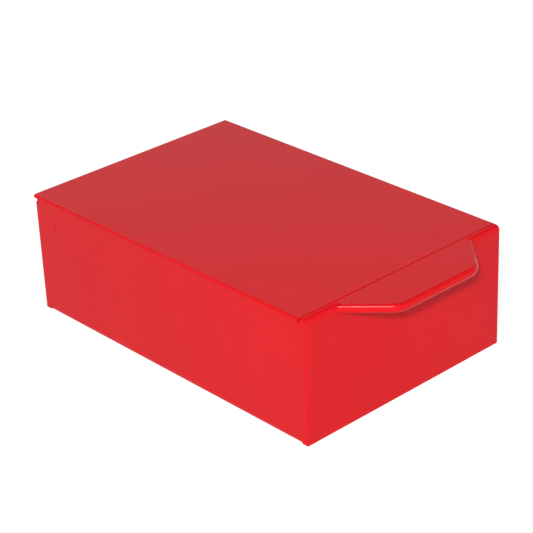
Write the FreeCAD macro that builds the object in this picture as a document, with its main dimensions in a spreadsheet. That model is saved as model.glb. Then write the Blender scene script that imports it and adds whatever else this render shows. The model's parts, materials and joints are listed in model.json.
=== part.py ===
"""Small sheet-steel cash box with a hinged lid, a finger tab and a lift-out coin tray.

Millimetres. The origin lies on the table under the middle of the body, +Z is up,
+Y points to the hinge at the back and the finger tab faces -Y.
"""
import FreeCAD
import Part
import Sketcher
import math
import os
import re

SIZES = {
    # overall sizes of the body and of the closed box
    "body_width": 100.0,
    "body_depth": 150.0,
    "box_height": 49.5,
    # sheet metal
    "sheet_gauge": 0.5,
    "wrap_bend": 1.5,
    "corner_bend": 0.7,
    "seam_setback": 2.8,
    "joggle_run": 1.2,
    "tongue_length": 9.5,
    "tongue_clear": 0.3,
    "hem_depth": 5.0,
    "hem_round": 0.4,
    "side_joggle": 0.4,
    "joggle_groove": 0.25,
    # lid
    "lid_rest_gap": 0.2,
    "lip_gap": 0.2,
    "lip_drop": 1.2,
    "lip_bend": 1.1,
    "rear_rim_drop": 2.1,
    "seam_width": 0.7,
    "rim_drop": 2.0,
    "rim_bend": 1.9,
    "rim_rest_gap": 0.05,
    # finger tab
    "tab_root": 70.0,
    "tab_outer": 39.5,
    "tab_reach": 16.2,
    "tab_corner": 9.5,
    "tab_roll": 1.7,
    "tab_relief": 0.15,
    "tab_standoff": 0.15,
    # rolled hinge
    "hinge_inset": 4.0,
    "pin_diameter": 1.0,
    "pin_play": 0.05,
    "knuckle_count": 5,
    "knuckle_gap": 0.4,
    "barrel_gap": 0.3,
    "curl_slit": 15.0,
    "finger_lap": 2.0,
    # ledges that carry the tray
    "ledge_height": 12.0,
    "ledge_width": 8.0,
    "ledge_leg": 8.0,
    "ledge_end_gap": 7.7,
    # coin tray
    "tray_height": 21.5,
    "tray_wall": 1.6,
    "tray_corner": 6.0,
    "tray_base_round": 2.6,
    "tray_rim_width": 1.2,
    "tray_rim_height": 1.6,
    "tray_side_play": 0.8,
    "tray_end_play": 2.0,
    "divider_wall": 1.2,
    "divider_drop": 5.0,
    "divider_chamfer": 1.6,
    "coin_bays": 4,
    # wire handle of the tray
    "handle_wire": 2.4,
    "handle_play": 0.05,
    "handle_drop": 2.8,
    "handle_inset": 4.0,
    "handle_bend": 2.2,
    "handle_reach": 15.0,
    "handle_corner": 4.0,
}

# Places that several pieces share, as formulas of the sizes
HALF_WIDTH = "body_width / 2"
HALF_DEPTH = "body_depth / 2"
WALL_TOP = "(box_height - sheet_gauge - lid_rest_gap)"
SEAM = "(body_depth / 2 - seam_setback)"
BORE_RADIUS = "(pin_diameter / 2 + pin_play)"
BARREL_RADIUS = f"({BORE_RADIUS} + sheet_gauge)"
AXIS_Y = f"({HALF_DEPTH} - sheet_gauge + {BORE_RADIUS})"
AXIS_Z = f"(box_height - sheet_gauge - barrel_gap - {BARREL_RADIUS})"
HINGE_SILL = f"({AXIS_Z} - {BARREL_RADIUS} - barrel_gap)"
FRONT_TOP = "(box_height - rim_drop - rim_rest_gap)"
JOGGLE_FACE = "(body_width / 2 - side_joggle)"
LID_HALF = f"({JOGGLE_FACE} + lip_gap + sheet_gauge)"
LID_REAR = f"({AXIS_Y} + {BARREL_RADIUS})"
HINGE_HALF = "(body_width / 2 - hinge_inset)"
KNUCKLE_PITCH = f"(2 * {HINGE_HALF} / knuckle_count)"
HEM_FACE = f"({JOGGLE_FACE} - 2 * sheet_gauge)"
HEM_FOOT = f"({WALL_TOP} - hem_depth)"
INSIDE = "(body_width / 2 - sheet_gauge)"
TONGUE_FACE = "(body_width / 2 - 2 * sheet_gauge)"
TONGUE_END = f"({SEAM} - tongue_length)"
TONGUE_FOOT = "(wrap_bend + tongue_clear)"
TAB_SLANT = "((tab_root - tab_outer) / 2 / (tab_reach - tab_standoff))"
TAB_INSET = f"(tab_roll * sqrt(1 + {TAB_SLANT}^2))"
TAB_ROOT_HALF = f"(tab_root / 2 - {TAB_INSET})"
TAB_FRONT_HALF = f"(tab_outer / 2 + {TAB_SLANT} * tab_roll - {TAB_INSET})"
TAB_BACK = "(-body_depth / 2 - tab_standoff)"
TAB_FRONT = "(-body_depth / 2 - tab_reach + tab_roll)"
TRAY_TOP = "(ledge_height + tray_height)"
TRAY_RIM_X = f"({HEM_FACE} - tray_side_play)"
TRAY_RIM_Y = f"({SEAM} - tray_end_play)"
TRAY_HALF_X = f"({TRAY_RIM_X} - tray_rim_width)"
TRAY_HALF_Y = f"({TRAY_RIM_Y} - tray_rim_width)"
TRAY_BAY_X = f"({TRAY_HALF_X} - tray_wall)"
TRAY_BAY_Y = f"({TRAY_HALF_Y} - tray_wall)"
TRAY_FLOOR = "(ledge_height + tray_wall)"
DIVIDER_TOP = f"({TRAY_TOP} - divider_drop)"
HANDLE_Z = f"({TRAY_TOP} - handle_drop)"

doc = FreeCAD.newDocument("cash_box")
sheet = doc.addObject("Spreadsheet::Sheet", "Sizes")


def fill_sheet():
    """Write each driving size as a number with its own alias."""
    for row, (alias, value) in enumerate(SIZES.items(), start=1):
        sheet.set(f"A{row}", alias)
        sheet.set(f"B{row}", str(value))
        sheet.setAlias(f"B{row}", alias)
    doc.recompute()


def formula(text):
    """Put the sheet's name before each alias in a formula."""
    return re.sub(r"[a-z]+(?:_[a-z]+)+", lambda word: "Sizes." + word.group(0), text)


def size(text):
    """Value of a formula for the sizes in the sheet."""
    return float(sheet.evalExpression(formula(text)))


def bind(item, prop, text):
    """Tie a property to a formula of the sizes."""
    item.setExpression(prop, formula(text))


def new_body(name):
    """An empty body for one piece."""
    return doc.addObject("PartDesign::Body", name)


def origin_item(body, role):
    """A plane or an axis of the body's own origin."""
    return next(item for item in body.Origin.OriginFeatures if item.Role == role)


def new_sketch(body, name, role, offset="0"):
    """A sketch on an origin plane, moved along its normal by a formula."""
    sketch = body.newObject("Sketcher::SketchObject", name)
    sketch.AttachmentSupport = (origin_item(body, role), [""])
    sketch.MapMode = "FlatFace"
    bind(sketch, "AttachmentOffset.Base.z", offset)
    return sketch


def limit(sketch, constraint, text):
    """Add a dimension to a sketch and tie it to a formula."""
    index = sketch.addConstraint(constraint)
    sketch.setExpression(f"Constraints[{index}]", formula(text))


def polygon(sketch, corners):
    """A closed outline with straight sides; each corner is a pair of formulas."""
    places = [FreeCAD.Vector(size(x), size(y), 0) for x, y in corners]
    first = sketch.GeometryCount
    count = len(places)
    for index in range(count):
        sketch.addGeometry(Part.LineSegment(places[index], places[(index + 1) % count]))
    for index in range(count):
        here = first + index
        following = first + (index + 1) % count
        sketch.addConstraint(Sketcher.Constraint("Coincident", here, 2, following, 1))
    for index, (x, y) in enumerate(corners):
        here = first + index
        limit(sketch, Sketcher.Constraint("DistanceX", -1, 1, here, 1, places[index].x), x)
        limit(sketch, Sketcher.Constraint("DistanceY", -1, 1, here, 1, places[index].y), y)


def rectangle(sketch, low, high):
    """A rectangle between two corners given as formulas."""
    polygon(sketch, [low, (high[0], low[1]), high, (low[0], high[1])])


def round_rectangle(sketch, half_x, half_y, radius):
    """A rectangle about the origin with rounded corners."""
    x = size(half_x)
    y = size(half_y)
    r = size(radius)
    first = sketch.GeometryCount
    normal = FreeCAD.Vector(0, 0, 1)
    ends = [
        ((-x + r, -y), (x - r, -y)),
        ((x, -y + r), (x, y - r)),
        ((x - r, y), (-x + r, y)),
        ((-x, y - r), (-x, -y + r)),
    ]
    centres = [(x - r, -y + r), (x - r, y - r), (-x + r, y - r), (-x + r, -y + r)]
    for start, end in ends:
        sketch.addGeometry(Part.LineSegment(FreeCAD.Vector(*start, 0), FreeCAD.Vector(*end, 0)))
    for quarter, (cx, cy) in enumerate(centres):
        circle = Part.Circle(FreeCAD.Vector(cx, cy, 0), normal, r)
        begin = (quarter - 1) * math.pi / 2
        sketch.addGeometry(Part.ArcOfCircle(circle, begin, begin + math.pi / 2))
    for side in range(4):
        arc = first + 4 + side
        sketch.addConstraint(Sketcher.Constraint("Tangent", first + side, 2, arc, 1))
        sketch.addConstraint(Sketcher.Constraint("Tangent", arc, 2, first + (side + 1) % 4, 1))
    for side in (0, 2):
        sketch.addConstraint(Sketcher.Constraint("Horizontal", first + side))
        sketch.addConstraint(Sketcher.Constraint("Vertical", first + side + 1))
    for arc in range(first + 5, first + 8):
        sketch.addConstraint(Sketcher.Constraint("Equal", first + 4, arc))
    limit(sketch, Sketcher.Constraint("Radius", first + 4, r), radius)
    limit(sketch, Sketcher.Constraint("DistanceY", -1, 1, first, 1, -y), f"-({half_y})")
    limit(sketch, Sketcher.Constraint("DistanceX", -1, 1, first + 1, 1, x), half_x)
    limit(sketch, Sketcher.Constraint("DistanceY", -1, 1, first + 2, 1, y), half_y)
    limit(sketch, Sketcher.Constraint("DistanceX", -1, 1, first + 3, 1, -x), f"-({half_x})")


def rolled_section(sketch, reach):
    """Sheet rolled round the pin: a flat of the given reach that runs to the left,
    tangent to the top of an open ring about the sketch's origin."""
    outer = size(BARREL_RADIUS)
    inner = size(BORE_RADIUS)
    left = -size(reach)
    begin = math.pi - math.radians(size("curl_slit"))
    finish = math.pi * 2.5
    normal = FreeCAD.Vector(0, 0, 1)
    centre = FreeCAD.Vector(0, 0, 0)
    tip = FreeCAD.Vector(math.cos(begin), math.sin(begin), 0)
    sketch.addGeometry(Part.LineSegment(FreeCAD.Vector(left, outer, 0), FreeCAD.Vector(0, outer, 0)))
    sketch.addGeometry(Part.ArcOfCircle(Part.Circle(centre, normal, outer), begin, finish))
    sketch.addGeometry(Part.LineSegment(tip * outer, tip * inner))
    sketch.addGeometry(Part.ArcOfCircle(Part.Circle(centre, normal, inner), begin, finish))
    sketch.addGeometry(Part.LineSegment(FreeCAD.Vector(0, inner, 0), FreeCAD.Vector(left, inner, 0)))
    sketch.addGeometry(Part.LineSegment(FreeCAD.Vector(left, inner, 0), FreeCAD.Vector(left, outer, 0)))
    sketch.addConstraint(Sketcher.Constraint("Coincident", 1, 3, -1, 1))
    sketch.addConstraint(Sketcher.Constraint("Coincident", 3, 3, -1, 1))
    sketch.addConstraint(Sketcher.Constraint("Tangent", 0, 2, 1, 2))
    sketch.addConstraint(Sketcher.Constraint("Coincident", 1, 1, 2, 1))
    sketch.addConstraint(Sketcher.Constraint("Coincident", 2, 2, 3, 1))
    sketch.addConstraint(Sketcher.Constraint("Tangent", 3, 2, 4, 1))
    sketch.addConstraint(Sketcher.Constraint("Coincident", 4, 2, 5, 1))
    sketch.addConstraint(Sketcher.Constraint("Coincident", 5, 2, 0, 1))
    sketch.addConstraint(Sketcher.Constraint("Horizontal", 0))
    sketch.addConstraint(Sketcher.Constraint("Vertical", 5))
    sketch.addConstraint(Sketcher.Constraint("PointOnObject", -1, 1, 2))
    limit(sketch, Sketcher.Constraint("Radius", 1, outer), BARREL_RADIUS)
    limit(sketch, Sketcher.Constraint("Radius", 3, inner), BORE_RADIUS)
    limit(sketch, Sketcher.Constraint("DistanceX", -1, 1, 4, 2, left), f"-({reach})")
    slope = -math.radians(size("curl_slit"))
    limit(sketch, Sketcher.Constraint("Angle", 2, slope), "-curl_slit * 1 deg")


def pad(body, name, sketch, length, middle=False):
    """Extrude a sketch along its normal, or to both sides of its plane."""
    feature = body.newObject("PartDesign::Pad", name)
    feature.Profile = sketch
    feature.Midplane = middle
    bind(feature, "Length", length)
    doc.recompute()
    return feature


def pocket_through(body, name, sketch):
    """Cut a sketch right through to both sides of its plane."""
    before = body.Shape.Volume
    feature = body.newObject("PartDesign::Pocket", name)
    feature.Profile = sketch
    feature.Type = "ThroughAll"
    feature.Midplane = True
    doc.recompute()
    if feature.Shape.Volume >= before:
        raise RuntimeError(f"{name} cuts nothing")
    return feature


def pocket_up(body, name, sketch, length):
    """Cut a sketch along its plane's normal."""
    before = body.Shape.Volume
    feature = body.newObject("PartDesign::Pocket", name)
    feature.Profile = sketch
    feature.Reversed = True
    bind(feature, "Length", length)
    doc.recompute()
    if feature.Shape.Volume >= before:
        raise RuntimeError(f"{name} cuts nothing")
    return feature


def round_edges(body, name, chosen, radius):
    """Round the edges of the body's last feature that a test picks out."""
    base = body.Tip
    edges = [f"Edge{index}" for index, edge in enumerate(base.Shape.Edges, start=1) if chosen(edge)]
    feature = body.newObject("PartDesign::Fillet", name)
    feature.Base = (base, edges)
    bind(feature, "Radius", radius)
    doc.recompute()
    return feature


def fold_shell(body, name, open_faces, wall):
    """Leave a sheet of even gauge inside the skin, open at the chosen faces."""
    base = body.Tip
    faces = [f"Face{index}" for index, face in enumerate(base.Shape.Faces, start=1) if open_faces(face)]
    feature = body.newObject("PartDesign::Thickness", name)
    feature.Base = (base, faces)
    feature.Reversed = True
    bind(feature, "Value", wall)
    doc.recompute()
    return feature


def sweep(body, name, section, path):
    """Carry a section along every edge of a path."""
    feature = body.newObject("PartDesign::AdditivePipe", name)
    feature.Profile = section
    feature.Spine = (path, [f"Edge{index + 1}" for index in range(path.GeometryCount)])
    doc.recompute()
    return feature


def near(value, text):
    """True where a coordinate lies on a formula's place."""
    return abs(value - size(text)) < 1e-4


def along(item, axis):
    """True for an edge that runs along one axis only."""
    box = item.BoundBox
    spans = {"x": box.XLength, "y": box.YLength, "z": box.ZLength}
    return spans.pop(axis) > 1e-4 and max(spans.values()) < 1e-4


def flat_at(face, axis, text):
    """True for a plane face square to an axis at a formula's place."""
    box = face.BoundBox
    low, high = {"x": (box.XMin, box.XMax), "y": (box.YMin, box.YMax), "z": (box.ZMin, box.ZMax)}[axis]
    return near(low, text) and near(high, text)


def block(name, low, high):
    """A plain block between two corners given as formulas."""
    item = doc.addObject("Part::Box", name)
    for prop, letter, start, end in zip(("Length", "Width", "Height"), "xyz", low, high):
        bind(item, prop, f"{end} - ({start})")
        bind(item, f"Placement.Base.{letter}", start)
    return item


def slot_start(slot):
    """Place along the hinge where a knuckle's slot begins."""
    return f"(-{HINGE_HALF} + {slot} * {KNUCKLE_PITCH})"


def repeat_along_hinge(body, feature, count):
    """Repeat a feature in every second slot of the hinge."""
    row = body.newObject("PartDesign::LinearPattern", f"{feature.Name}_row")
    row.Originals = [feature]
    row.Direction = (origin_item(body, "X_Axis"), [""])
    bind(row, "Length", f"2 * {KNUCKLE_PITCH} * {count - 1}")
    row.Occurrences = count
    body.Tip = row
    doc.recompute()


def add_knuckles(body, turn, reach, first_slot, count):
    """Row of rolled knuckles in every second slot of the hinge line."""
    sketch = new_sketch(body, f"{body.Name}_curl", "YZ_Plane")
    sketch.AttachmentOffset = FreeCAD.Placement(
        FreeCAD.Vector(0, 0, 0), FreeCAD.Rotation(FreeCAD.Vector(0, 0, 1), turn)
    )
    bind(sketch, "AttachmentOffset.Base.x", AXIS_Y)
    bind(sketch, "AttachmentOffset.Base.y", AXIS_Z)
    bind(sketch, "AttachmentOffset.Base.z", f"{slot_start(first_slot)} + knuckle_gap / 2")
    rolled_section(sketch, reach)
    knuckle = pad(body, f"{body.Name}_knuckle", sketch, f"{KNUCKLE_PITCH} - knuckle_gap")
    repeat_along_hinge(body, knuckle, count)


def cut_barrel_notches(body, first_slot, count):
    """Round notches that clear the other half's knuckles."""
    start = f"{slot_start(first_slot)} - knuckle_gap / 2"
    sketch = new_sketch(body, f"{body.Name}_notch_outline", "YZ_Plane", start)
    radius = f"{BARREL_RADIUS} + barrel_gap"
    centre = FreeCAD.Vector(size(AXIS_Y), size(AXIS_Z), 0)
    sketch.addGeometry(Part.Circle(centre, FreeCAD.Vector(0, 0, 1), size(radius)))
    limit(sketch, Sketcher.Constraint("DistanceX", -1, 1, 0, 3, centre.x), AXIS_Y)
    limit(sketch, Sketcher.Constraint("DistanceY", -1, 1, 0, 3, centre.y), AXIS_Z)
    limit(sketch, Sketcher.Constraint("Radius", 0, size(radius)), radius)
    notch = pocket_up(body, f"{body.Name}_notch", sketch, f"{KNUCKLE_PITCH} + knuckle_gap")
    repeat_along_hinge(body, notch, count)


def mirror_pair(low, high):
    """The same rectangle at the right and at the left of the middle."""
    return [(low, high), ((f"-({high[0]})", low[1]), (f"-({low[0]})", high[1]))]


def make_body_wrap():
    """Left wall, floor and right wall folded from one sheet; the hemmed top edges step inwards
    so that the lid's lips stand out only a little."""
    body = new_body("body_wrap")
    outline = new_sketch(body, "wrap_outline", "XY_Plane")
    rectangle(outline, (f"-{HALF_WIDTH}", f"-{SEAM}"), (HALF_WIDTH, SEAM))
    pad(body, "wrap_block", outline, WALL_TOP)
    round_edges(
        body, "wrap_bends", lambda edge: along(edge, "y") and near(edge.BoundBox.ZMax, "0"), "wrap_bend"
    )

    def open_end(face):
        return (
            flat_at(face, "z", WALL_TOP)
            or flat_at(face, "y", SEAM)
            or flat_at(face, "y", f"-{SEAM}")
        )

    fold_shell(body, "wrap_fold", open_end, "sheet_gauge")
    hem = new_sketch(body, "wrap_hem_outline", "XY_Plane", HEM_FOOT)
    for low, high in mirror_pair((HEM_FACE, f"-{SEAM}"), (INSIDE, SEAM)):
        rectangle(hem, low, high)
    pad(body, "wrap_hem", hem, "hem_depth")
    joggle = new_sketch(body, "wrap_joggle_outline", "XZ_Plane")
    groove_foot = "box_height - lip_drop - joggle_groove"
    for low, high in mirror_pair((JOGGLE_FACE, groove_foot), (f"{HALF_WIDTH} + side_joggle", "box_height")):
        rectangle(joggle, low, high)
    pocket_through(body, "wrap_joggle", joggle)

    def hem_edge(edge):
        side = abs(edge.BoundBox.XMax)
        on_top = along(edge, "y") and near(edge.BoundBox.ZMin, WALL_TOP)
        return on_top and (near(side, JOGGLE_FACE) or near(side, HEM_FACE))

    round_edges(body, "wrap_hem_round", hem_edge, "hem_round")
    return body


def add_end_panel(body, side, top):
    """Shared form of the two end walls: narrow returns at the sides and the bottom that meet the
    wrap edge to edge, and tongues that lap inside it. The side is -1 at the front and 1 at the back."""
    sign = "-" if side < 0 else ""
    face = f"{sign}{HALF_DEPTH}"
    inner = f"{sign}({HALF_DEPTH} - sheet_gauge)"
    seam = f"{sign}{SEAM}"
    lap = f"{sign}({SEAM} + joggle_run)"
    tongue = f"{sign}{TONGUE_END}"
    plan = new_sketch(body, f"{body.Name}_plan", "XY_Plane")
    polygon(plan, [
        (f"-{HALF_WIDTH}", face),
        (HALF_WIDTH, face),
        (HALF_WIDTH, seam),
        (INSIDE, seam),
        (INSIDE, inner),
        (f"-{INSIDE}", inner),
        (f"-{INSIDE}", seam),
        (f"-{HALF_WIDTH}", seam),
    ])
    pad(body, f"{body.Name}_wall", plan, top)
    round_edges(
        body, f"{body.Name}_outer_bends",
        lambda edge: along(edge, "z") and near(edge.BoundBox.YMin, face), "corner_bend"
    )
    round_edges(
        body, f"{body.Name}_inner_bends",
        lambda edge: along(edge, "z") and near(edge.BoundBox.YMin, inner), "corner_bend - sheet_gauge"
    )
    sill = new_sketch(body, f"{body.Name}_sill_outline", "XY_Plane")
    rectangle(sill, (f"-{INSIDE}", inner), (INSIDE, seam))
    pad(body, f"{body.Name}_sill", sill, "sheet_gauge")
    round_edges(
        body, f"{body.Name}_foot_bend",
        lambda edge: along(edge, "x") and near(edge.BoundBox.ZMax, "0") and near(edge.BoundBox.YMin, face),
        "sheet_gauge"
    )
    floor_half = f"({HALF_WIDTH} - wrap_bend - tongue_clear)"
    floor_lap = new_sketch(body, f"{body.Name}_floor_lap_outline", "XY_Plane", "sheet_gauge")
    rectangle(floor_lap, (f"-{floor_half}", lap), (floor_half, tongue))
    pad(body, f"{body.Name}_floor_lap", floor_lap, "sheet_gauge")
    flaps = new_sketch(body, f"{body.Name}_tongue_outline", "XY_Plane", TONGUE_FOOT)
    for low, high in mirror_pair((TONGUE_FACE, lap), (INSIDE, tongue)):
        rectangle(flaps, low, high)
    pad(body, f"{body.Name}_tongues", flaps, f"{HEM_FOOT} - tongue_clear - {TONGUE_FOOT}")


def make_front_panel():
    """Front wall under the lid's front rim, with a lip inside that covers the joint."""
    body = new_body("front_panel")
    add_end_panel(body, -1, FRONT_TOP)
    root = f"(-{HALF_DEPTH} + sheet_gauge / 2)"
    lip_face = f"(-{HALF_DEPTH} + rim_bend / 2)"
    lip_top = "(box_height - 2 * sheet_gauge - 2 * lid_rest_gap)"
    lip = new_sketch(body, "front_lip_outline", "YZ_Plane")
    polygon(lip, [
        (root, f"{FRONT_TOP} - sheet_gauge"),
        (f"{lip_face} + sheet_gauge", f"{FRONT_TOP} - sheet_gauge"),
        (f"{lip_face} + sheet_gauge", lip_top),
        (lip_face, lip_top),
        (lip_face, FRONT_TOP),
        (root, FRONT_TOP),
    ])
    pad(body, "front_lip", lip, f"2 * ({INSIDE} - corner_bend)", middle=True)
    return body


def make_back_panel():
    """Back wall with the body's half of the rolled hinge and an upright at each corner that closes
    the corner under the lid and stops the open lid."""
    body = new_body("back_panel")
    add_end_panel(body, 1, HINGE_SILL)
    stop_face = f"({HALF_DEPTH} - sheet_gauge)"
    stop_back = f"({HALF_DEPTH} - 2 * sheet_gauge)"
    stop_edge = f"({HINGE_HALF} + knuckle_gap)"
    stop_foot = f"({HINGE_SILL} - finger_lap)"
    stops = new_sketch(body, "lid_stop_outline", "XY_Plane", stop_foot)
    for sign in ("", "-"):
        polygon(stops, [
            (f"{sign}{stop_edge}", stop_back),
            (f"{sign}{TONGUE_FACE}", stop_back),
            (f"{sign}{TONGUE_FACE}", SEAM),
            (f"{sign}{INSIDE}", SEAM),
            (f"{sign}{INSIDE}", stop_face),
            (f"{sign}{stop_edge}", stop_face),
        ])
    pad(body, "lid_stops", stops, f"{WALL_TOP} - {stop_foot}")
    count = int(size("knuckle_count"))
    add_knuckles(body, 90, f"({BARREL_RADIUS} + barrel_gap + finger_lap)", 1, count // 2)
    return body


def make_hinge_pin():
    """Straight wire through all the knuckles."""
    pin = doc.addObject("Part::Cylinder", "hinge_pin")
    bind(pin, "Radius", "pin_diameter / 2")
    bind(pin, "Height", f"2 * {HINGE_HALF}")
    pin.Placement.Rotation = FreeCAD.Rotation(FreeCAD.Vector(0, 1, 0), 90)
    bind(pin, "Placement.Base.x", f"-{HINGE_HALF}")
    bind(pin, "Placement.Base.y", AXIS_Y)
    bind(pin, "Placement.Base.z", AXIS_Z)
    return pin


def make_lid_panel():
    """Lid sheet with turned-down lips at both sides, a deeper rim at the rear that stops the lid
    against the back wall, and the lid's half of the rolled hinge."""
    body = new_body("lid_panel")
    front = f"(-{SEAM} + seam_width / 2)"
    outline = new_sketch(body, "lid_outline", "XY_Plane", "box_height - lip_drop")
    rectangle(outline, (f"-{LID_HALF}", front), (LID_HALF, LID_REAR))
    pad(body, "lid_block", outline, "lip_drop")
    round_edges(
        body, "lid_corners",
        lambda edge: along(edge, "z") and near(edge.BoundBox.YMin, LID_REAR), "lip_bend"
    )

    def lip_edge(edge):
        return near(edge.BoundBox.ZMin, "box_height") and not near(edge.BoundBox.YMax, front)

    round_edges(body, "lid_bends", lip_edge, "lip_bend")
    fold_shell(
        body, "lid_fold",
        lambda face: flat_at(face, "z", "box_height - lip_drop") or flat_at(face, "y", front), "sheet_gauge"
    )
    rim = new_sketch(body, "rear_rim_outline", "XY_Plane", "box_height - rear_rim_drop")
    rim_half = f"({LID_HALF} - lip_bend)"
    rectangle(rim, (f"-{rim_half}", f"{LID_REAR} - sheet_gauge"), (rim_half, LID_REAR))
    pad(body, "rear_rim", rim, "rear_rim_drop - lip_bend")
    count = int(size("knuckle_count"))
    cut_barrel_notches(body, 1, count // 2)
    add_knuckles(body, -90, f"(box_height - lip_bend - {AXIS_Z})", 0, count - count // 2)
    return body


def make_strip_fold():
    """Front strip of the lid: a shallow pan with a round front bend and closed, rounded ends."""
    body = new_body("strip_fold")
    rear = f"(-{SEAM} - seam_width / 2)"
    outline = new_sketch(body, "strip_outline", "XY_Plane", "box_height - rim_drop")
    rectangle(outline, (f"-{HALF_WIDTH}", f"-{HALF_DEPTH}"), (HALF_WIDTH, rear))
    pad(body, "strip_block", outline, "rim_drop")

    def front_edge(edge):
        on_top = along(edge, "x") and near(edge.BoundBox.ZMin, "box_height")
        return on_top and near(edge.BoundBox.YMin, f"-{HALF_DEPTH}")

    round_edges(body, "strip_bend", front_edge, "rim_bend")

    def end_edge(edge):
        box = edge.BoundBox
        on_end = box.XLength < 1e-4 and near(abs(box.XMax), HALF_WIDTH)
        return on_end and not near(box.YMin, rear) and not near(box.ZMax, "box_height - rim_drop")

    round_edges(body, "strip_end_bends", end_edge, "corner_bend")
    fold_shell(
        body, "strip_shell",
        lambda face: flat_at(face, "z", "box_height - rim_drop") or flat_at(face, "y", rear), "sheet_gauge"
    )
    return body


def tab_roll_path(sketch):
    """Right half of the line under which the tab's edge is rolled: along the front, round the corner
    and back past the front wall."""
    radius = "tab_corner - tab_roll"
    end = (f"{TAB_ROOT_HALF} + {TAB_SLANT} * tab_roll", f"{TAB_BACK} + tab_roll")
    slope = math.atan(1 / size(TAB_SLANT))
    r = size(radius)
    front = size(TAB_FRONT)
    run = r * math.tan(slope / 2)
    bend_start = size(TAB_FRONT_HALF) - run
    bend_end = FreeCAD.Vector(bend_start + r * math.sin(slope), front + r - r * math.cos(slope), 0)
    circle = Part.Circle(FreeCAD.Vector(bend_start, front + r, 0), FreeCAD.Vector(0, 0, 1), r)
    sketch.addGeometry(Part.LineSegment(FreeCAD.Vector(0, front, 0), FreeCAD.Vector(bend_start, front, 0)))
    sketch.addGeometry(Part.ArcOfCircle(circle, -math.pi / 2, slope - math.pi / 2))
    sketch.addGeometry(Part.LineSegment(bend_end, FreeCAD.Vector(size(end[0]), size(end[1]), 0)))
    sketch.addConstraint(Sketcher.Constraint("Tangent", 0, 2, 1, 1))
    sketch.addConstraint(Sketcher.Constraint("Tangent", 1, 2, 2, 1))
    sketch.addConstraint(Sketcher.Constraint("PointOnObject", 0, 1, -2))
    sketch.addConstraint(Sketcher.Constraint("Horizontal", 0))
    limit(sketch, Sketcher.Constraint("DistanceY", -1, 1, 0, 1, front), TAB_FRONT)
    limit(sketch, Sketcher.Constraint("Radius", 1, r), radius)
    limit(sketch, Sketcher.Constraint("Angle", 2, slope), f"atan(1 / {TAB_SLANT})")
    limit(sketch, Sketcher.Constraint("DistanceX", -1, 1, 2, 2, size(end[0])), end[0])
    limit(sketch, Sketcher.Constraint("DistanceY", -1, 1, 2, 2, size(end[1])), end[1])


def tab_roll_section(sketch):
    """Section of the rolled edge: half a ring of sheet that is open towards the box."""
    level = "box_height - tab_roll"
    centre = FreeCAD.Vector(size(TAB_FRONT), size(level), 0)
    outer = size("tab_roll")
    inner = size("tab_roll - sheet_gauge")
    up = FreeCAD.Vector(0, 1, 0)
    for radius in (outer, inner):
        circle = Part.Circle(centre, FreeCAD.Vector(0, 0, 1), radius)
        sketch.addGeometry(Part.ArcOfCircle(circle, math.pi / 2, math.pi * 1.5))
    sketch.addGeometry(Part.LineSegment(centre + up * outer, centre + up * inner))
    sketch.addGeometry(Part.LineSegment(centre - up * outer, centre - up * inner))
    for line, end in ((2, 1), (3, 2)):
        sketch.addConstraint(Sketcher.Constraint("Coincident", 0, end, line, 1))
        sketch.addConstraint(Sketcher.Constraint("Coincident", 1, end, line, 2))
        sketch.addConstraint(Sketcher.Constraint("Vertical", line))
        sketch.addConstraint(Sketcher.Constraint("PointOnObject", 0, 3, line))
    sketch.addConstraint(Sketcher.Constraint("Coincident", 0, 3, 1, 3))
    limit(sketch, Sketcher.Constraint("Radius", 0, outer), "tab_roll")
    limit(sketch, Sketcher.Constraint("Radius", 1, inner), "tab_roll - sheet_gauge")
    limit(sketch, Sketcher.Constraint("DistanceX", -1, 1, 0, 3, centre.x), TAB_FRONT)
    limit(sketch, Sketcher.Constraint("DistanceY", -1, 1, 0, 3, centre.y), level)


def make_tab_fold():
    """Finger tab: a plate with slanted ends whose edge is rolled right under on three sides."""
    body = new_body("tab_fold")
    plate = new_sketch(body, "tab_plate_outline", "XY_Plane", "box_height - sheet_gauge")
    polygon(plate, [
        (f"-{TAB_ROOT_HALF}", TAB_BACK),
        (f"-{TAB_FRONT_HALF}", TAB_FRONT),
        (TAB_FRONT_HALF, TAB_FRONT),
        (TAB_ROOT_HALF, TAB_BACK),
    ])
    pad(body, "tab_plate", plate, "sheet_gauge")
    round_edges(
        body, "tab_corners",
        lambda edge: along(edge, "z") and near(edge.BoundBox.YMin, TAB_FRONT), "tab_corner - tab_roll"
    )
    path = new_sketch(body, "tab_roll_path", "XY_Plane", "box_height - tab_roll")
    tab_roll_path(path)
    section = new_sketch(body, "tab_roll_section", "YZ_Plane")
    tab_roll_section(section)
    doc.recompute()
    roll = sweep(body, "tab_roll_half", section, path)
    pair = body.newObject("PartDesign::Mirrored", "tab_roll_pair")
    pair.Originals = [roll]
    pair.MirrorPlane = (origin_item(body, "YZ_Plane"), [""])
    body.Tip = pair
    doc.recompute()
    trim = new_sketch(body, "tab_trim_outline", "XY_Plane")
    rectangle(trim, ("-tab_root", TAB_BACK), ("tab_root", f"{TAB_BACK} + 4 * tab_roll"))
    pocket_through(body, "tab_trim", trim)
    return body


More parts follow.
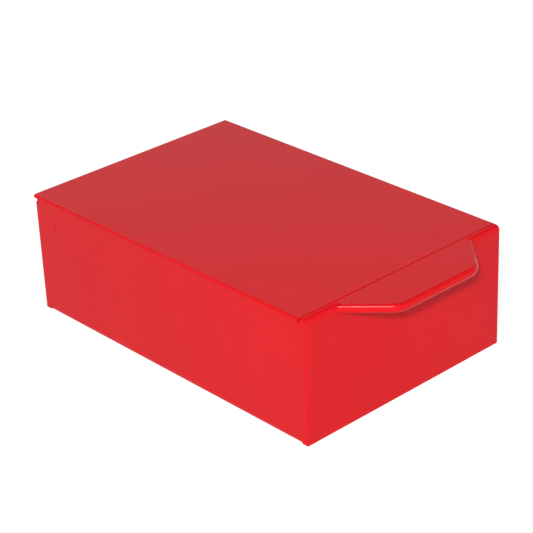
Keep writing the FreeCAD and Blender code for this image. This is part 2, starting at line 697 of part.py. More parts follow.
def make_lid_front_strip():
    """The front strip, its finger tab and the tongue that laps under the lid sheet, as one sheet."""
    notch_half = f"({TAB_ROOT_HALF} + tab_relief)"
    notch = block(
        "tab_notch",
        (f"-{notch_half}", f"-{HALF_DEPTH} - sheet_gauge", "box_height - 2 * rim_drop"),
        (notch_half, f"-{HALF_DEPTH} + rim_bend", "box_height + sheet_gauge"),
    )
    strip = doc.addObject("Part::Cut", "strip_notched")
    strip.Base = make_strip_fold()
    strip.Tool = notch
    neck = block(
        "tab_neck",
        (f"-{TAB_ROOT_HALF}", TAB_BACK, "box_height - sheet_gauge"),
        (TAB_ROOT_HALF, f"-{SEAM} - seam_width / 2", "box_height"),
    )
    lap_half = f"({HEM_FACE} - tongue_clear)"
    lap = block(
        "strip_lap",
        (f"-{lap_half}", f"-{SEAM} - joggle_run", "box_height - 2 * sheet_gauge"),
        (lap_half, f"-{TONGUE_END}", "box_height - sheet_gauge"),
    )
    whole = doc.addObject("Part::MultiFuse", "lid_front_strip")
    whole.Shapes = [strip, neck, make_tab_fold(), lap]
    whole.Refine = True
    doc.recompute()
    return whole


def make_tray_ledge(name, side):
    """Angle strip on a side wall; its flat top carries the tray."""
    body = new_body(name)
    sign = "-" if side < 0 else ""
    wall = f"{sign}{INSIDE}"
    leg = f"{sign}{TONGUE_FACE}"
    edge = f"{sign}({INSIDE} - ledge_width)"
    profile = new_sketch(body, f"{name}_profile", "XZ_Plane")
    polygon(profile, [
        (wall, "ledge_height"),
        (edge, "ledge_height"),
        (edge, "ledge_height - sheet_gauge"),
        (leg, "ledge_height - sheet_gauge"),
        (leg, "ledge_height - ledge_leg"),
        (wall, "ledge_height - ledge_leg"),
    ])
    pad(body, f"{name}_angle", profile, f"2 * ({TONGUE_END} - ledge_end_gap)", middle=True)
    return body


def make_coin_tray():
    """Moulded tray with a rounded base, a stiff rim and a pivot hole in each long side."""
    body = new_body("coin_tray")
    outline = new_sketch(body, "tray_outline", "XY_Plane", "ledge_height")
    round_rectangle(outline, TRAY_HALF_X, TRAY_HALF_Y, "tray_corner")
    pad(body, "tray_block", outline, "tray_height")
    round_edges(
        body, "tray_base", lambda edge: near(edge.BoundBox.ZMax, "ledge_height"), "tray_base_round"
    )
    cavity = new_sketch(body, "tray_cavity_outline", "XY_Plane", TRAY_FLOOR)
    round_rectangle(cavity, TRAY_BAY_X, TRAY_BAY_Y, "tray_corner - tray_wall")
    pocket_up(body, "tray_cavity", cavity, "tray_height")
    round_edges(
        body, "tray_cavity_base",
        lambda edge: near(edge.BoundBox.ZMax, TRAY_FLOOR) and near(edge.BoundBox.ZMin, TRAY_FLOOR),
        "tray_base_round - tray_wall"
    )
    rim = new_sketch(body, "tray_rim_outline", "XY_Plane", f"{TRAY_TOP} - tray_rim_height")
    round_rectangle(rim, TRAY_RIM_X, TRAY_RIM_Y, "tray_corner + tray_rim_width")
    round_rectangle(
        rim, f"{TRAY_HALF_X} - tray_wall / 2", f"{TRAY_HALF_Y} - tray_wall / 2",
        "tray_corner - tray_wall / 2"
    )
    pad(body, "tray_rim", rim, "tray_rim_height")
    pivot = new_sketch(body, "tray_pivot_outline", "YZ_Plane")
    radius = "handle_wire / 2 + handle_play"
    centre = FreeCAD.Vector(0, size(HANDLE_Z), 0)
    pivot.addGeometry(Part.Circle(centre, FreeCAD.Vector(0, 0, 1), size(radius)))
    pivot.addConstraint(Sketcher.Constraint("PointOnObject", 0, 3, -2))
    limit(pivot, Sketcher.Constraint("DistanceY", -1, 1, 0, 3, centre.y), HANDLE_Z)
    limit(pivot, Sketcher.Constraint("Radius", 0, size(radius)), radius)
    pocket_through(body, "tray_pivot", pivot)
    return body


def make_long_divider():
    """Wall along the middle of the tray."""
    body = new_body("tray_divider_long")
    profile = new_sketch(body, "long_divider_profile", "YZ_Plane")
    polygon(profile, [
        (f"-{TRAY_BAY_Y} + divider_chamfer", TRAY_FLOOR),
        (f"{TRAY_BAY_Y} - divider_chamfer", TRAY_FLOOR),
        (TRAY_BAY_Y, f"{TRAY_FLOOR} + divider_chamfer"),
        (TRAY_BAY_Y, DIVIDER_TOP),
        (f"-{TRAY_BAY_Y}", DIVIDER_TOP),
        (f"-{TRAY_BAY_Y}", f"{TRAY_FLOOR} + divider_chamfer"),
    ])
    pad(body, "long_divider_wall", profile, "divider_wall", middle=True)
    return body


def make_short_divider(index):
    """Wall between two coin bays, from the long divider to the tray's right side."""
    body = new_body(f"tray_divider_short_{index}")
    place = f"(-{TRAY_BAY_Y} + {index} * 2 * {TRAY_BAY_Y} / coin_bays)"
    rear_face = f"-{place} - divider_wall / 2"
    profile = new_sketch(body, f"short_divider_{index}_profile", "XZ_Plane", rear_face)
    polygon(profile, [
        ("divider_wall / 2", TRAY_FLOOR),
        (f"{TRAY_BAY_X} - divider_chamfer", TRAY_FLOOR),
        (TRAY_BAY_X, f"{TRAY_FLOOR} + divider_chamfer"),
        (TRAY_BAY_X, DIVIDER_TOP),
        ("divider_wall / 2", DIVIDER_TOP),
    ])
    pad(body, f"short_divider_{index}_wall", profile, "divider_wall")
    return body


def make_tray_handle():
    """Wire bail: its turned-out ends sit in the tray's pivot holes and it lies flat at rest."""
    body = new_body("tray_handle")
    arm = f"({TRAY_BAY_X} - handle_inset)"
    path = new_sketch(body, "handle_path", "XY_Plane", HANDLE_Z)
    bail_outline(path, arm)
    section = new_sketch(body, "handle_section", "YZ_Plane", f"-{TRAY_HALF_X}")
    centre = FreeCAD.Vector(0, size(HANDLE_Z), 0)
    radius = size("handle_wire / 2")
    section.addGeometry(Part.Circle(centre, FreeCAD.Vector(0, 0, 1), radius))
    section.addConstraint(Sketcher.Constraint("PointOnObject", 0, 3, -2))
    limit(section, Sketcher.Constraint("DistanceY", -1, 1, 0, 3, centre.y), HANDLE_Z)
    limit(section, Sketcher.Constraint("Radius", 0, radius), "handle_wire / 2")
    doc.recompute()
    sweep(body, "handle_sweep", section, path)
    return body


def bail_outline(sketch, arm):
    """Middle line of the bail: two short pivots on the sketch's x axis, two arms and a grip."""
    end = size(TRAY_HALF_X)
    x = size(arm)
    bend = size("handle_bend")
    corner = size("handle_corner")
    reach = size("handle_reach")
    normal = FreeCAD.Vector(0, 0, 1)
    quarter = math.pi / 2

    def line(x_from, y_from, x_to, y_to):
        sketch.addGeometry(Part.LineSegment(FreeCAD.Vector(x_from, y_from, 0), FreeCAD.Vector(x_to, y_to, 0)))

    def arc(cx, cy, radius, begin):
        circle = Part.Circle(FreeCAD.Vector(cx, cy, 0), normal, radius)
        sketch.addGeometry(Part.ArcOfCircle(circle, begin, begin + quarter))

    line(-end, 0, -x - bend, 0)
    arc(-x - bend, -bend, bend, 0)
    line(-x, -bend, -x, corner - reach)
    arc(corner - x, corner - reach, corner, 2 * quarter)
    line(corner - x, -reach, x - corner, -reach)
    arc(x - corner, corner - reach, corner, 3 * quarter)
    line(x, corner - reach, x, -bend)
    arc(x + bend, -bend, bend, quarter)
    line(x + bend, 0, end, 0)
    joints = [
        (0, 2, 1, 2), (1, 1, 2, 1), (2, 2, 3, 1), (3, 2, 4, 1),
        (4, 2, 5, 1), (5, 2, 6, 1), (6, 2, 7, 2), (7, 1, 8, 1),
    ]
    for joint in joints:
        sketch.addConstraint(Sketcher.Constraint("Tangent", *joint))
    for level in (0, 4, 8):
        sketch.addConstraint(Sketcher.Constraint("Horizontal", level))
    for upright in (2, 6):
        sketch.addConstraint(Sketcher.Constraint("Vertical", upright))
    sketch.addConstraint(Sketcher.Constraint("PointOnObject", 0, 1, -1))
    sketch.addConstraint(Sketcher.Constraint("PointOnObject", 8, 2, -1))
    sketch.addConstraint(Sketcher.Constraint("Equal", 1, 7))
    sketch.addConstraint(Sketcher.Constraint("Equal", 3, 5))
    limit(sketch, Sketcher.Constraint("Radius", 1, bend), "handle_bend")
    limit(sketch, Sketcher.Constraint("Radius", 3, corner), "handle_corner")
    limit(sketch, Sketcher.Constraint("DistanceX", -1, 1, 0, 1, -end), f"-{TRAY_HALF_X}")
    limit(sketch, Sketcher.Constraint("DistanceX", -1, 1, 8, 2, end), TRAY_HALF_X)
    limit(sketch, Sketcher.Constraint("DistanceX", -1, 1, 2, 1, -x), f"-{arm}")
    limit(sketch, Sketcher.Constraint("DistanceX", -1, 1, 6, 1, x), arm)
    limit(sketch, Sketcher.Constraint("DistanceY", -1, 1, 4, 1, -reach), "-handle_reach")


def make_pieces():
    """Build every piece of the box."""
    pieces = [
        make_body_wrap(),
        make_front_panel(),
        make_back_panel(),
        make_hinge_pin(),
        make_lid_panel(),
        make_lid_front_strip(),
        make_tray_ledge("tray_ledge_left", -1),
        make_tray_ledge("tray_ledge_right", 1),
        make_coin_tray(),
        make_long_divider(),
        make_tray_handle(),
    ]
    pieces += [make_short_divider(index) for index in range(1, int(size("coin_bays")))]
    return pieces


def check_and_write(pieces):
    """Stop on any failed object or bad shape, then write one file for each piece."""
    doc.recompute()
    for item in doc.Objects:
        if {"Invalid", "Error"} & set(item.State):
            raise RuntimeError(f"{item.Label} failed: {item.State}")
    for piece in pieces:
        shape = piece.Shape
        if shape.isNull() or not shape.isValid() or not shape.Solids:
            raise RuntimeError(f"{piece.Label} has no valid shape")
    os.makedirs("parts", exist_ok=True)
    for piece in pieces:
        piece.Shape.exportStep(f"parts/{piece.Label}.step")
        print(f"{piece.Label}: {len(piece.Shape.Solids)} solid, {piece.Shape.Volume:.1f} cubic mm")


fill_sheet()
check_and_write(make_pieces())
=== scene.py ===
"""Looks of a small red cash box: enamelled sheet steel, a moulded coin tray, steel wire and a
plain white stage. Metres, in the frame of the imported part."""
import json
import math

import bmesh
import bpy
import numpy as np
from mathutils import Matrix, Vector


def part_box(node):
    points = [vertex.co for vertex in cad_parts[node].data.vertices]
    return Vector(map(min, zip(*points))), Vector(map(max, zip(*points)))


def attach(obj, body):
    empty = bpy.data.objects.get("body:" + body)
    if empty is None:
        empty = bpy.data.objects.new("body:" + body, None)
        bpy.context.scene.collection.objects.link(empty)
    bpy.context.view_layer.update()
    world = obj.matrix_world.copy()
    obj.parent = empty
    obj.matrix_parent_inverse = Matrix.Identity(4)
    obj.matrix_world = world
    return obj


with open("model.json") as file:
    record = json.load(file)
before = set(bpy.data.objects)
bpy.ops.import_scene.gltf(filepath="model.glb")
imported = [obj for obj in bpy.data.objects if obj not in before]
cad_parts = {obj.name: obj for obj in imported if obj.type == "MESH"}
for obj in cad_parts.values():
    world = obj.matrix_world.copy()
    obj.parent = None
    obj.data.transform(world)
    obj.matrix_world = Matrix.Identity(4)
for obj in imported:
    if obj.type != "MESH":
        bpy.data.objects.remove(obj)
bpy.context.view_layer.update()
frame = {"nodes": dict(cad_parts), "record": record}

bl_info = {
    "name": "Cash box looks",
    "version": (1, 0, 0),
    "blender": (4, 5, 0),
    "location": "View3D > Sidebar > Cash Box",
    "description": "Finishes, details and studio stage of a small enamelled cash box",
    "category": "Object",
}

PHOTO_PIXELS = 533
SENSOR_WIDTH = 36.0
ENAMEL = "red_enamel_paint"

# Directions from the box to the lamps
KEY_DIRECTION = (-0.599, -0.586, 0.546)
CARD_DIRECTION = (-0.312, -0.353, 0.882)
BACK_DIRECTION = (0.15, 0.78, 0.6)

# Places of the two colours and of the result among a Mix node's sockets
MIX_FIRST = 6
MIX_SECOND = 7
MIX_RESULT = 2

# CAD nodes and colour of each material slot in the part's record
SLOT_NODES = {}
for part in frame["record"]["subparts"]:
    SLOT_NODES.setdefault(part["material_slot"], []).append(part["node"])
SLOT_COLOUR = {entry["slot"]: entry["base_color"] for entry in frame["record"]["materials"]}


class EnamelFinish(bpy.types.PropertyGroup):
    """Baked gloss enamel on the steel sheet."""

    colour: bpy.props.FloatVectorProperty(
        name="Colour", description="Red of the enamel", subtype="COLOR", default=SLOT_COLOUR["red_enamel"],
        min=0, max=1,
    )
    roughness: bpy.props.FloatProperty(
        name="Roughness", description="Dullness of the gloss", subtype="FACTOR", default=0.14, min=0, max=1,
    )
    gloss: bpy.props.FloatProperty(
        name="Gloss", description="Strength of the reflections", subtype="FACTOR", default=0.1, min=0,
        max=1,
    )
    drift_size: bpy.props.FloatProperty(
        name="Drift size", description="Width of one slow change of colour", unit="LENGTH", default=0.03,
    )
    patch_size: bpy.props.FloatProperty(
        name="Patch size", description="Width of one duller patch", unit="LENGTH", default=0.011,
    )
    patch_depth: bpy.props.FloatProperty(
        name="Patch depth", description="How much duller or brighter a patch is", subtype="FACTOR",
        default=0.04, min=0, max=1,
    )
    peel_size: bpy.props.FloatProperty(
        name="Peel size", description="Width of one ripple in the paint film", unit="LENGTH",
        default=0.0016,
    )
    peel_depth: bpy.props.FloatProperty(
        name="Peel depth", description="Height of the ripples in the paint film", unit="LENGTH",
        default=0.000012,
    )


class TrayFinish(bpy.types.PropertyGroup):
    """Moulded plastic of the coin tray."""

    colour: bpy.props.FloatVectorProperty(
        name="Colour", description="Colour of the moulded plastic", subtype="COLOR",
        default=SLOT_COLOUR["tray_plastic"], min=0, max=1,
    )
    roughness: bpy.props.FloatProperty(
        name="Roughness", description="Dullness of the grained surface", subtype="FACTOR", default=0.5,
        min=0, max=1,
    )
    grain_size: bpy.props.FloatProperty(
        name="Grain size", description="Width of one grain of the mould's texture", unit="LENGTH",
        default=0.0006,
    )
    grain_depth: bpy.props.FloatProperty(
        name="Grain depth", description="Height of the mould's texture", unit="LENGTH", default=0.00003,
    )
    grain_contrast: bpy.props.FloatProperty(
        name="Grain contrast", description="How much the dullness changes with the grain",
        subtype="FACTOR", default=0.08, min=0, max=1,
    )
    drift_size: bpy.props.FloatProperty(
        name="Drift size", description="Width of one slow change of colour", unit="LENGTH", default=0.02,
    )


class WireFinish(bpy.types.PropertyGroup):
    """Drawn steel wire of the hinge pin and of the tray's handle."""

    colour: bpy.props.FloatVectorProperty(
        name="Colour", description="Colour of the bright wire", subtype="COLOR",
        default=SLOT_COLOUR["bright_wire"], min=0, max=1,
    )
    roughness: bpy.props.FloatProperty(
        name="Roughness", description="Dullness of the drawn wire", subtype="FACTOR", default=0.28, min=0,
        max=1,
    )
    scratch_size: bpy.props.FloatProperty(
        name="Scratch size", description="Width of one drawing mark", unit="LENGTH", default=0.0002,
    )
    scratch_depth: bpy.props.FloatProperty(
        name="Scratch depth", description="Depth of the drawing marks", unit="LENGTH", default=0.000005,
    )
    scratch_contrast: bpy.props.FloatProperty(
        name="Scratch contrast", description="How much the dullness changes with the marks",
        subtype="FACTOR", default=0.1, min=0, max=1,
    )
    scratch_stretch: bpy.props.FloatVectorProperty(
        name="Scratch stretch", description="Scale of the marks along each axis; small is long",
        subtype="XYZ", default=(0.03, 1.0, 1.0),
    )


class WeldMarks(bpy.types.PropertyGroup):
    """Spot welds that show through the enamel where an end wall's side tongue laps inside the wrap."""

    front_height: bpy.props.FloatProperty(
        name="Front height", description="Height of the front welds over the table", unit="LENGTH",
        default=0.034,
    )
    front_setback: bpy.props.FloatProperty(
        name="Front setback", description="Distance of the front welds from the wrap's front end",
        unit="LENGTH", default=0.0026,
    )
    back_height: bpy.props.FloatProperty(
        name="Back height", description="Height of the back welds over the table", unit="LENGTH",
        default=0.0383,
    )
    back_setback: bpy.props.FloatProperty(
        name="Back setback", description="Distance of the back welds from the wrap's back end",
        unit="LENGTH", default=0.0086,
    )
    radius: bpy.props.FloatProperty(
        name="Radius", description="Radius of one weld mark", unit="LENGTH", default=0.0005,
    )
    rise: bpy.props.FloatProperty(
        name="Rise", description="How far a weld mark stands out of the wall", unit="LENGTH",
        default=0.00028,
    )


class StageSetup(bpy.types.PropertyGroup):
    """Floor, lights and camera."""

    floor_colour: bpy.props.FloatVectorProperty(
        name="Floor colour", description="Colour of the pale floor", subtype="COLOR",
        default=(0.4, 0.4, 0.4), min=0, max=1,
    )
    floor_glow: bpy.props.FloatProperty(
        name="Floor glow", description="White that the camera sees on the floor even in shade",
        default=0.8, min=0, max=1,
    )
    floor_half: bpy.props.FloatProperty(
        name="Floor half", description="Half the width of the square floor", unit="LENGTH", default=4.0,
    )
    floor_drop: bpy.props.FloatProperty(
        name="Floor drop", description="Gap between the box and the floor", unit="LENGTH",
        default=0.00005,
    )
    fill: bpy.props.FloatProperty(
        name="Fill", description="Strength of the light that the walls at the camera's left give off",
        default=1.5, min=0,
    )
    fill_far: bpy.props.FloatProperty(
        name="Far fill", description="Strength of the light that the opposite walls give off",
        default=0.72, min=0,
    )
    fill_lean: bpy.props.FloatVectorProperty(
        name="Fill lean", description="Level direction from which most of the fill comes",
        subtype="DIRECTION", default=(-0.77, -0.64, 0.0),
    )
    wall_top: bpy.props.FloatProperty(
        name="Wall top", description="Height over the horizon up to which the walls are white",
        subtype="ANGLE", default=math.radians(29),
    )
    ceiling_edge: bpy.props.FloatProperty(
        name="Ceiling edge", description="Height over the horizon where the dim ceiling begins",
        subtype="ANGLE", default=math.radians(40),
    )
    ceiling: bpy.props.FloatProperty(
        name="Ceiling", description="Brightness of the ceiling in reflections", default=0.12, min=0, max=1,
    )
    key_power: bpy.props.FloatProperty(
        name="Key light", description="Power of the soft lamp at the left of the camera", unit="POWER",
        default=5.05, min=0,
    )
    key_size: bpy.props.FloatProperty(
        name="Key size", description="Width of the soft lamp", unit="LENGTH", default=0.06, min=0.01,
    )
    key_distance: bpy.props.FloatProperty(
        name="Key distance", description="Distance of the soft lamp from the box", unit="LENGTH",
        default=0.9,
    )
    card_power: bpy.props.FloatProperty(
        name="Card light", description="Power of the white card over the box, which only gloss shows",
        unit="POWER", default=12.0, min=0,
    )
    card_size: bpy.props.FloatProperty(
        name="Card size", description="Width of the white card", unit="LENGTH", default=0.36, min=0.01,
    )
    card_distance: bpy.props.FloatProperty(
        name="Card distance", description="Distance of the white card from the box", unit="LENGTH",
        default=0.975, min=0.1,
    )
    back_power: bpy.props.FloatProperty(
        name="Back light", description="Power of the large lamp over and behind the box", unit="POWER",
        default=1.0, min=0,
    )
    back_size: bpy.props.FloatProperty(
        name="Back size", description="Width of the large lamp", unit="LENGTH", default=0.5, min=0.01,
    )
    back_distance: bpy.props.FloatProperty(
        name="Back distance", description="Distance of the large lamp from the box", unit="LENGTH",
        default=1.0,
    )
    camera_aim: bpy.props.FloatVectorProperty(
        name="Camera aim", description="Point in the box at the middle of the picture", subtype="XYZ",
        unit="LENGTH", default=(0.00104, -0.00069, 0.02509),
    )
    camera_distance: bpy.props.FloatProperty(
        name="Camera distance", description="Distance of the camera from the middle of the box",
        unit="LENGTH", default=0.69895,
    )
    camera_azimuth: bpy.props.FloatProperty(
        name="Camera azimuth", description="Turn of the camera round the box from the front",
        subtype="ANGLE", default=math.radians(-41.908),
    )
    camera_elevation: bpy.props.FloatProperty(
        name="Camera elevation", description="Height of the camera over the horizon", subtype="ANGLE",
        default=math.radians(27.140),
    )
    camera_roll: bpy.props.FloatProperty(
        name="Camera roll", description="Tilt of the picture", subtype="ANGLE",
        default=math.radians(-2.496),
    )
    focal_pixels: bpy.props.FloatProperty(
        name="Focal length in pixels", description="Focal length for a picture as wide as the photograph",
        default=1826.2,
    )


class NodeBench:
    """Shorthand for building the nodes of one material or of the world."""

    def __init__(self, owner, output):
        self.owner = owner
        owner.use_nodes = True
        self.tree = owner.node_tree
        self.tree.nodes.clear()
        self.output = self.add(output)

    def put(self, value, socket):
        """Feed a socket from another socket or with a plain value."""
        if isinstance(value, bpy.types.NodeSocket):
            self.tree.links.new(value, socket)
        else:
            socket.default_value = value

    def add(self, kind, settings=None, feed=(), **inputs):
        """Add a node, with values for its first sockets in order or for sockets by name."""
        node = self.tree.nodes.new(kind)
        for key, value in (settings or {}).items():
            setattr(node, key, value)
        for index, value in enumerate(feed):
            self.put(value, node.inputs[index])
        for key, value in inputs.items():
            self.put(value, node.inputs[key.replace("_", " ")])
        return node

    def seen(self):
        """One for rays from the camera, off a gloss and through glass, and nothing for other light."""
        path = self.add("ShaderNodeLightPath").outputs
        most = {"operation": "MAXIMUM"}
        mirror = self.add("ShaderNodeMath", most, (path["Is Camera Ray"], path["Is Glossy Ray"]))
        return self.add("ShaderNodeMath", most, (mirror.outputs[0], path["Is Transmission Ray"])).outputs[0]

    def noise(self, size, detail=2.0, stretch=(1, 1, 1)):
        """Noise in object space whose features are about one size wide."""
        place = self.add("ShaderNodeTexCoord").outputs["Object"]
        mapping = self.add("ShaderNodeMapping", Vector=place, Scale=stretch)
        return self.add(
            "ShaderNodeTexNoise", Vector=mapping.outputs["Vector"], Scale=1 / size, Detail=detail
        ).outputs["Fac"]

    def around(self, factor, middle, swing):
        """Map 0 to 1 onto the numbers from middle - swing to middle + swing."""
        return self.add(
            "ShaderNodeMapRange", Value=factor, To_Min=middle - swing, To_Max=middle + swing
        ).outputs["Result"]

    def blend(self, factor, first, second):
        """Mix two colours."""
        node = self.tree.nodes.new("ShaderNodeMix")
        node.data_type = "RGBA"
        self.tree.links.new(factor, node.inputs["Factor"])
        node.inputs[MIX_FIRST].default_value = (*first, 1)
        node.inputs[MIX_SECOND].default_value = (*second, 1)
        return node.outputs[MIX_RESULT]

    def finish(self, surface):
        """Send a shader to the output."""
        self.put(surface, self.output.inputs["Surface"])
        return self.owner


def material_bench(name):
    """A bench for a new material."""
    return NodeBench(bpy.data.materials.new(name), "ShaderNodeOutputMaterial")


def shade(colour, factor):
    """A colour made darker or lighter by a factor."""
    return tuple(channel * factor for channel in colour)


def enamel_material(finish):
    """Gloss enamel: slow colour drift, fine orange peel and patches of slightly duller gloss."""
    bench = material_bench(ENAMEL)
    drift = bench.noise(finish.drift_size)
    colour = bench.blend(drift, shade(finish.colour, 0.95), shade(finish.colour, 1.05))
    peel = bench.noise(finish.peel_size, detail=1.0)
    bump = bench.add("ShaderNodeBump", Height=peel, Distance=finish.peel_depth, Strength=1.0)
    patches = bench.noise(finish.patch_size)
    dull = bench.around(patches, finish.roughness, finish.patch_depth)
    shader = bench.add(
        "ShaderNodeBsdfPrincipled", Base_Color=colour, Roughness=dull, Normal=bump.outputs["Normal"],
        Specular_IOR_Level=finish.gloss,
    )
    return bench.finish(shader.outputs["BSDF"])


def tray_material(finish):
    """Black moulded plastic with the fine grain of its mould."""
    bench = material_bench("tray_moulding")
    grain = bench.noise(finish.grain_size, detail=3.0)
    drift = bench.noise(finish.drift_size)
    colour = bench.blend(drift, shade(finish.colour, 0.85), shade(finish.colour, 1.2))
    bump = bench.add("ShaderNodeBump", Height=grain, Distance=finish.grain_depth, Strength=1.0)
    dull = bench.around(grain, finish.roughness, finish.grain_contrast)
    shader = bench.add(
        "ShaderNodeBsdfPrincipled", Base_Color=colour, Roughness=dull, Normal=bump.outputs["Normal"]
    )
    return bench.finish(shader.outputs["BSDF"])


def wire_material(finish):
    """Bright drawn wire: fine scratches that run along the wire, across the box."""
    bench = material_bench("drawn_wire")
    draw = bench.noise(finish.scratch_size, stretch=finish.scratch_stretch)
    colour = bench.blend(draw, shade(finish.colour, 0.85), shade(finish.colour, 1.1))
    dull = bench.around(draw, finish.roughness, finish.scratch_contrast)
    bump = bench.add("ShaderNodeBump", Height=draw, Distance=finish.scratch_depth, Strength=1.0)
    shader = bench.add(
        "ShaderNodeBsdfPrincipled", Base_Color=colour, Roughness=dull, Metallic=1.0,
        Normal=bump.outputs["Normal"],
    )
    return bench.finish(shader.outputs["BSDF"])


def dress(slot, material):
    """Give every CAD node of a slot its material."""
    for name in SLOT_NODES[slot]:
        for place in frame["nodes"][name].material_slots:
            place.material = material


class CASHBOX_OT_enamel(bpy.types.Operator):
    """Paint the folded steel sheets"""

    bl_idname = "cash_box.enamel"
    bl_label = "Paint the steel sheets"

    def execute(self, context):
        dress("red_enamel", enamel_material(context.scene.cash_box_enamel))
        return {"FINISHED"}


def weld_surface(centres, rise, radius, rings=12, spokes=32):
    """Flat buttons, half sunk in the wall: P(u, v) = C + (a cos u, r sin u cos v, r sin u sin v), with
    u from 0 to pi between the poles and v round the button. Returns the points and the quads."""
    u = np.linspace(0, math.pi, rings + 1)[:, None]
    v = np.linspace(0, 2 * math.pi, spokes, endpoint=False)[None, :]
    button = np.stack(np.broadcast_arrays(
        rise * np.cos(u), radius * np.sin(u) * np.cos(v), radius * np.sin(u) * np.sin(v)
    ), axis=-1)
    points = np.asarray(centres)[:, None, None, :] + button
    ring, spoke = np.meshgrid(np.arange(rings), np.arange(spokes), indexing="ij")
    here = ring * spokes + spoke
    aside = ring * spokes + (spoke + 1) % spokes
    quads = np.stack([here, here + spokes, aside + spokes, aside], axis=-1).reshape(-1, 4)
    steps = np.arange(len(centres))[:, None, None] * (rings + 1) * spokes
    return points.reshape(-1, 3), (quads + steps).reshape(-1, 4)


class CASHBOX_OT_welds(bpy.types.Operator):
    """Add the spot welds at the four upright joints of the case"""

    bl_idname = "cash_box.welds"
    bl_label = "Add the spot welds"

    def execute(self, context):
        marks = context.scene.cash_box_welds
        low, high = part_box("body_wrap")
        front = (low[1] + marks.front_setback, marks.front_height)
        back = (high[1] - marks.back_setback, marks.back_height)
        centres = [(x, y, z) for x in (low[0], high[0]) for y, z in (front, back)]
        points, quads = weld_surface(centres, marks.rise, marks.radius)
        mesh = bpy.data.meshes.new("spot_welds")
        mesh.from_pydata(points.tolist(), [], quads.tolist())
        shell = bmesh.new()
        shell.from_mesh(mesh)
        bmesh.ops.remove_doubles(shell, verts=shell.verts, dist=marks.rise / 1000)
        bmesh.ops.recalc_face_normals(shell, faces=shell.faces)
        shell.to_mesh(mesh)
        shell.free()
        mesh.shade_smooth()
        paint = bpy.data.materials.get(ENAMEL) or enamel_material(context.scene.cash_box_enamel)
        mesh.materials.append(paint)
        piece = bpy.data.objects.new("spot_welds", mesh)
        context.scene.collection.objects.link(piece)
        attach(piece, "case")
        return {"FINISHED"}


class CASHBOX_OT_tray(bpy.types.Operator):
    """Give the coin tray and its dividers their moulded finish"""

    bl_idname = "cash_box.tray"
    bl_label = "Finish the coin tray"

    def execute(self, context):
        dress("tray_plastic", tray_material(context.scene.cash_box_tray))
        return {"FINISHED"}


class CASHBOX_OT_wire(bpy.types.Operator):
    """Give the hinge pin and the tray's handle their drawn finish"""

    bl_idname = "cash_box.wire"
    bl_label = "Finish the wire pieces"

    def execute(self, context):
        dress("bright_wire", wire_material(context.scene.cash_box_wire))
        return {"FINISHED"}


def floor_material(setup):
    """White floor: the camera sees a glow plus the floor's own light and shade, so a shadow stays."""
    bench = material_bench("stage_floor")
    pale = bench.add("ShaderNodeBsdfDiffuse", Color=(*setup.floor_colour, 1)).outputs[0]
    glow = bench.add("ShaderNodeEmission", Strength=setup.floor_glow).outputs[0]
    lit = bench.add("ShaderNodeAddShader", feed=(pale, glow)).outputs[0]
    return bench.finish(bench.add("ShaderNodeMixShader", feed=(bench.seen(), pale, lit)).outputs[0])


def make_floor(setup):
    """A square sheet just under the box: P(u, v) = (h u, h v, -d) for u and v from -1 to 1, with h half
    the width and d the gap."""
    side = np.array([-1.0, 1.0]) * setup.floor_half
    x, y = np.meshgrid(side, side)
    points = np.stack([x, y, np.full_like(x, -setup.floor_drop)], axis=-1).reshape(-1, 3)
    mesh = bpy.data.meshes.new("stage_floor")
    mesh.from_pydata(points.tolist(), [], [(0, 1, 3, 2)])
    mesh.materials.append(floor_material(setup))
    floor = bpy.data.objects.new("stage_floor", mesh)
    bpy.context.scene.collection.objects.link(floor)


def make_world(setup):
    """White walls that turn into a dim ceiling with the sine of the height, as the camera and
    reflections see them. Their light on matt surfaces grows towards the camera's left."""
    world = bpy.data.worlds.new("stage_walls")
    bpy.context.scene.world = world
    bench = NodeBench(world, "ShaderNodeOutputWorld")
    place = bench.add("ShaderNodeTexCoord").outputs["Generated"]
    height = bench.add("ShaderNodeSeparateXYZ", feed=(place,)).outputs["Z"]
    walls = bench.add(
        "ShaderNodeMapRange", {"interpolation_type": "SMOOTHSTEP"}, Value=height,
        From_Min=math.sin(setup.wall_top), From_Max=math.sin(setup.ceiling_edge), To_Min=1.0,
        To_Max=setup.ceiling,
    ).outputs["Result"]
    lean = bench.add("ShaderNodeVectorMath", {"operation": "DOT_PRODUCT"}, (place, setup.fill_lean))
    share = bench.add(
        "ShaderNodeMapRange", Value=lean.outputs["Value"], From_Min=-1.0, To_Min=setup.fill_far,
        To_Max=setup.fill,
    ).outputs["Result"]
    fill = bench.add("ShaderNodeMath", {"operation": "MULTIPLY"}, (walls, share)).outputs[0]
    strength = bench.add("ShaderNodeMix", feed=(bench.seen(),))
    bench.put(fill, strength.inputs["A"])
    bench.put(walls, strength.inputs["B"])
    background = bench.add("ShaderNodeBackground", Strength=strength.outputs["Result"])
    bench.finish(background.outputs[0])


def make_lamp(name, towards, distance, size, power):
    """Square soft lamp in a given direction that faces the box."""
    towards = Vector(towards).normalized()
    lamp = bpy.data.lights.new(name, "AREA")
    lamp.size = size
    lamp.energy = power
    place = bpy.data.objects.new(name, lamp)
    place.location = towards * distance
    place.rotation_euler = towards.to_track_quat("Z", "Y").to_euler()
    bpy.context.scene.collection.objects.link(place)
    return place


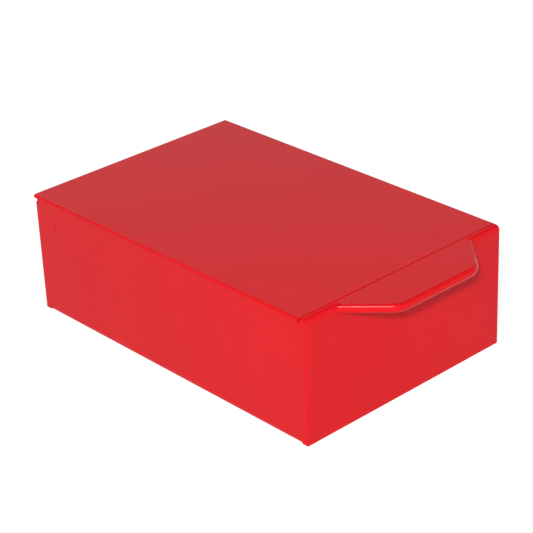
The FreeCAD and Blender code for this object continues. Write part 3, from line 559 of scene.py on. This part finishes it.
def make_camera(setup):
    """Camera aimed at the middle of the case, with the photograph's angle, tilt and focal length."""
    aim = Vector(setup.camera_aim)
    azimuth = setup.camera_azimuth
    elevation = setup.camera_elevation
    level = math.cos(elevation)
    back = Vector((math.sin(azimuth) * level, -math.cos(azimuth) * level, math.sin(elevation)))
    lens = bpy.data.cameras.new("photo_camera")
    lens.sensor_width = SENSOR_WIDTH
    lens.lens = setup.focal_pixels * SENSOR_WIDTH / PHOTO_PIXELS
    camera = bpy.data.objects.new("photo_camera", lens)
    turn = back.to_track_quat("Z", "Y") @ Matrix.Rotation(setup.camera_roll, 3, "Z").to_quaternion()
    camera.rotation_euler = turn.to_euler()
    camera.location = aim + back * setup.camera_distance
    bpy.context.scene.collection.objects.link(camera)
    bpy.context.scene.camera = camera


class CASHBOX_OT_stage(bpy.types.Operator):
    """Set up the white floor, the lights and the camera"""

    bl_idname = "cash_box.stage"
    bl_label = "Set up the stage"

    def execute(self, context):
        setup = context.scene.cash_box_stage
        make_floor(setup)
        make_world(setup)
        # The key light casts the tab's shadow, and the card draws the bright line along the tab's roll
        key = make_lamp("key_lamp", KEY_DIRECTION, setup.key_distance, setup.key_size, setup.key_power)
        key.visible_glossy = False
        card = make_lamp(
            "key_card", CARD_DIRECTION, setup.card_distance, setup.card_size, setup.card_power
        )
        card.visible_diffuse = False
        make_lamp("back_lamp", BACK_DIRECTION, setup.back_distance, setup.back_size, setup.back_power)
        make_camera(setup)
        context.scene.view_settings.view_transform = "Standard"
        return {"FINISHED"}


class CASHBOX_PT_looks(bpy.types.Panel):
    """Steps that dress the cash box"""

    bl_idname = "CASHBOX_PT_looks"
    bl_label = "Cash Box"
    bl_space_type = "VIEW_3D"
    bl_region_type = "UI"
    bl_category = "Cash Box"

    def draw(self, context):
        for step in STEPS:
            self.layout.operator(step.bl_idname)


STEPS = (CASHBOX_OT_enamel, CASHBOX_OT_welds, CASHBOX_OT_tray, CASHBOX_OT_wire, CASHBOX_OT_stage)
SETTINGS = {
    "cash_box_enamel": EnamelFinish,
    "cash_box_welds": WeldMarks,
    "cash_box_tray": TrayFinish,
    "cash_box_wire": WireFinish,
    "cash_box_stage": StageSetup,
}
CLASSES = (*SETTINGS.values(), *STEPS, CASHBOX_PT_looks)


def register():
    """Register the classes and hang the settings on the scene."""
    for cls in CLASSES:
        bpy.utils.register_class(cls)
    for name, group in SETTINGS.items():
        setattr(bpy.types.Scene, name, bpy.props.PointerProperty(type=group))


def unregister():
    """Take the settings and classes away again."""
    for name in SETTINGS:
        delattr(bpy.types.Scene, name)
    for cls in reversed(CLASSES):
        bpy.utils.unregister_class(cls)


def main():
    """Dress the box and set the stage."""
    register()
    bpy.ops.cash_box.enamel()
    bpy.ops.cash_box.welds()
    bpy.ops.cash_box.tray()
    bpy.ops.cash_box.wire()
    bpy.ops.cash_box.stage()


if __name__ == "__main__":
    main()
